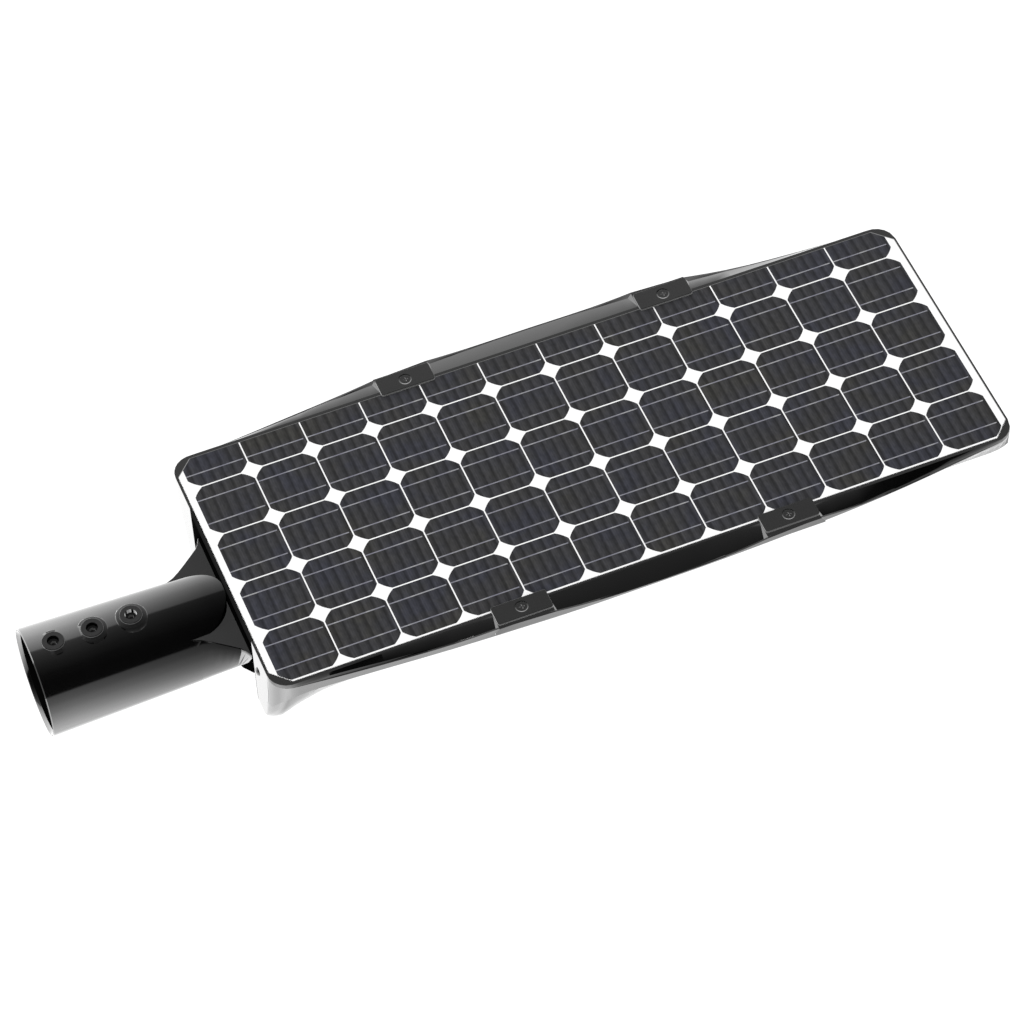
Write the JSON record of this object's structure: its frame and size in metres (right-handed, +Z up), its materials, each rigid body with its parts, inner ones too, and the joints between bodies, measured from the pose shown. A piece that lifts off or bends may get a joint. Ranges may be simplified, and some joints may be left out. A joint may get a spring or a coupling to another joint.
{
  "type": "solar street lamp head",
  "caption": "All-in-one solar street lamp head: clamped solar panel on a shallow cast housing with bowed sides, a pole sleeve with set screws, and a light, sensor and switch underneath",
  "frame": {"origin": "on the pole sleeve axis, 2 mm in from the lip of its mouth, where the pole goes in", "axes": "+X along the sleeve and the lamp towards its tip, +Z up out of the solar panel, +Y to the left seen from the pole"},
  "size_m": [0.8187, 0.2884, 0.1077],
  "materials": {
    "casting": "dark grey powder coat on die-cast aluminium",
    "clamp": "black anodised",
    "panel_glass": "solar laminate: glass over cells on a white backsheet",
    "rubber": "black silicone",
    "black_plastic": "moulded",
    "clear_plastic": "clear polycarbonate",
    "frosted_plastic": "milky polyethylene",
    "led_board": "white solder mask on an aluminium core",
    "circuit_board": "green solder mask",
    "cell_wrap": null,
    "plated_steel": "zinc plated",
    "black_steel": "black oxide",
    "lead": "insulated wire"
  },
  "bodies": {
    "lamp": {"housing": "casting", "battery_door": "casting", "pole_bracket": "casting", "solar_panel": "panel_glass", "panel_gasket": "rubber", "bracket_gasket": "rubber", "door_gasket": "rubber", "lens_gasket": "rubber", "panel_junction_box": "black_plastic", "battery_strap": "black_plastic", "charge_controller": "black_plastic", "button_bezel": "black_plastic", "button_nut": "black_plastic", "button_switch": "black_plastic", "battery_cradle": "plated_steel", "led_board": "led_board", "led_lens_plate": "clear_plastic", "sensor_dome": "frosted_plastic", "sensor_board": "circuit_board", "earth_screw": "black_steel", "panel_lead": "lead", "battery_lead": "lead", "light_lead": "lead", "button_lead": "lead", "panel_clamp_1": "clamp", "clamp_screw_1": "black_steel", "bracket_bolt_1": "plated_steel", "door_screw_1": "plated_steel", "lens_screw_1": "plated_steel", "panel_clamp_2": "clamp", "clamp_screw_2": "black_steel", "bracket_bolt_2": "plated_steel", "door_screw_2": "plated_steel", "lens_screw_2": "plated_steel", "panel_clamp_3": "clamp", "clamp_screw_3": "black_steel", "bracket_bolt_3": "plated_steel", "door_screw_3": "plated_steel", "lens_screw_3": "plated_steel", "panel_clamp_4": "clamp", "clamp_screw_4": "black_steel", "bracket_bolt_4": "plated_steel", "door_screw_4": "plated_steel", "lens_screw_4": "plated_steel", "cradle_screw_1": "plated_steel", "controller_screw_1": "plated_steel", "cradle_screw_2": "plated_steel", "controller_screw_2": "plated_steel", "battery_cell_1": "cell_wrap", "battery_cell_2": "cell_wrap", "battery_cell_3": "cell_wrap", "battery_cell_4": "cell_wrap", "battery_cell_5": "cell_wrap", "battery_cell_6": "cell_wrap", "battery_cell_7": "cell_wrap", "battery_cell_8": "cell_wrap"},
    "screw_1": {"set_screw_1": "black_steel"},
    "screw_2": {"set_screw_2": "black_steel"},
    "screw_3": {"set_screw_3": "black_steel"},
    "button": {"power_button": "rubber"}
  },
  "joints": [
    {"name": "set_screw_1_travel", "type": "slide", "parent": "lamp", "child": "screw_1", "axis": [0, 0, 1], "range_m": [-0.002, 0.004]},
    {"name": "set_screw_2_travel", "type": "slide", "parent": "lamp", "child": "screw_2", "axis": [0, 0, 1], "range_m": [-0.002, 0.004]},
    {"name": "set_screw_3_travel", "type": "slide", "parent": "lamp", "child": "screw_3", "axis": [0, 0, 1], "range_m": [-0.002, 0.004]},
    {"name": "button_press", "type": "slide", "parent": "lamp", "child": "button", "axis": [0, 0, 1], "range_m": [0, 0.0025], "stiffness_N_per_m": 500, "springref_m": -0.003}
  ]
}
